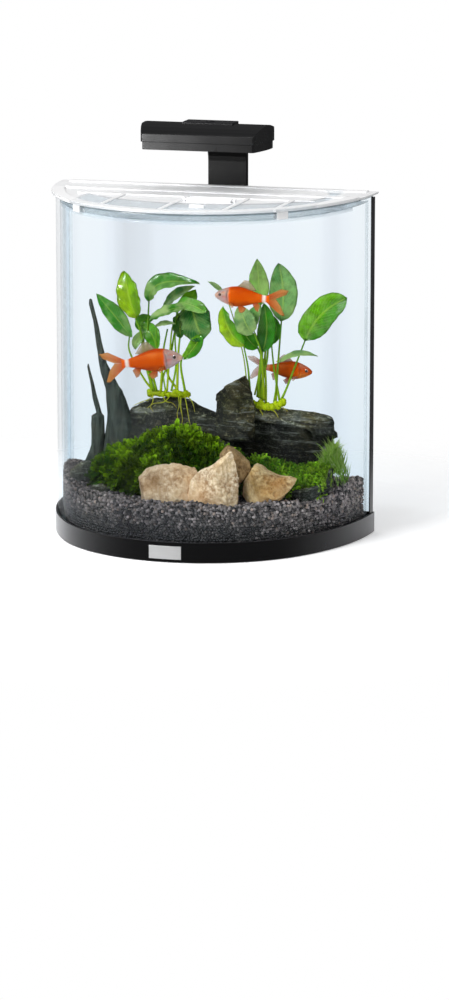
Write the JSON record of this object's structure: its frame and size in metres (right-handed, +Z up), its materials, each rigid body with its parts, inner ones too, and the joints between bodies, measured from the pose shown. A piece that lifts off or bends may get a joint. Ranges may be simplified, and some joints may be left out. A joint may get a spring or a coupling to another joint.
{
  "type": "aquarium",
  "caption": "Half-moon glass aquarium with bent front glass, black base tray, clear lift-off cover with feeding flap, rear post lamp that tilts, gravel, stones, water plants and fish.",
  "frame": {"origin": "middle of the overall box, on the surface the base pads stand on", "axes": "+X to the right seen from the bent front glass, +Y to the flat rear glass, +Z up"},
  "size_m": [0.404, 0.254, 0.5122],
  "materials": {
    "black_plastic": "gloss",
    "rubber": "matte",
    "glass": "clear",
    "silicone": "satin",
    "badge_metal": "satin",
    "clear_cover": "frosted clear",
    "white_plastic": "satin",
    "steel": "satin",
    "lamp_black": "satin",
    "lamp_gloss": "gloss",
    "diffuser": "frosted",
    "board_white": "satin",
    "led_yellow": "gloss",
    "gravel": "wet",
    "sandstone": "matte",
    "slate": "rough",
    "driftwood": "rough",
    "moss": "matte",
    "leaf_dark": "satin",
    "leaf_light": "satin",
    "fish": "satin"
  },
  "bodies": {
    "tank": {"base_tray": "black_plastic", "foot_pads": "rubber", "bottom_glass": "glass", "front_glass": "glass", "rear_glass": "glass", "silicone_seams": "silicone", "rear_trim_left": "silicone", "rear_trim_right": "black_plastic", "badge_plate": "badge_metal", "lid_clips": "white_plastic", "rear_bridge": "clear_cover", "lamp_arm": "lamp_black", "arm_screws": "steel", "cable_gland": "lamp_black", "gravel_bed": "gravel", "sandstone_a": "sandstone", "sandstone_b": "sandstone", "sandstone_c": "sandstone", "sandstone_d": "sandstone", "slate_mound": "slate", "slate_upright": "slate", "slate_slab": "slate", "slate_chips": "slate", "driftwood": "driftwood", "moss_left": "moss", "moss_right": "moss", "anubias_left": "leaf_dark", "anubias_right": "leaf_light", "goldfish_a": "fish", "goldfish_b": "fish", "goldfish_c": "fish"},
    "cover": {"cover_lid": "clear_cover", "flap_pin": "steel"},
    "flap": {"feeding_flap": "clear_cover", "flap_grip": "clear_cover"},
    "lamp_head": {"tilt_pin": "steel", "lamp_upper_shell": "lamp_black", "lamp_lower_shell": "lamp_black", "shell_screws": "steel", "lamp_diffuser": "diffuser", "led_board": "board_white", "led_chips": "led_yellow", "lamp_top_plate": "lamp_gloss"},
    "button": {"lamp_button": "lamp_gloss"}
  },
  "joints": [
    {"name": "cover_lift", "type": "slide", "parent": "tank", "child": "cover", "axis": [0, 0, 1], "range_m": [0, 0.02]},
    {"name": "flap_hinge", "type": "hinge", "parent": "cover", "child": "flap", "pos_m": [0.029, -0.029, 0.4263], "axis": [-1, 0, 0], "range_deg": [0, 90]},
    {"name": "lamp_tilt", "type": "hinge", "parent": "tank", "child": "lamp_head", "pos_m": [0.011, 0.085, 0.489], "axis": [-1, 0, 0], "range_deg": [-15, 75]},
    {"name": "lamp_button_press", "type": "slide", "parent": "lamp_head", "child": "button", "axis": [0, 0, -1], "range_m": [0, 0.0008], "stiffness_N_per_m": 500}
  ]
}
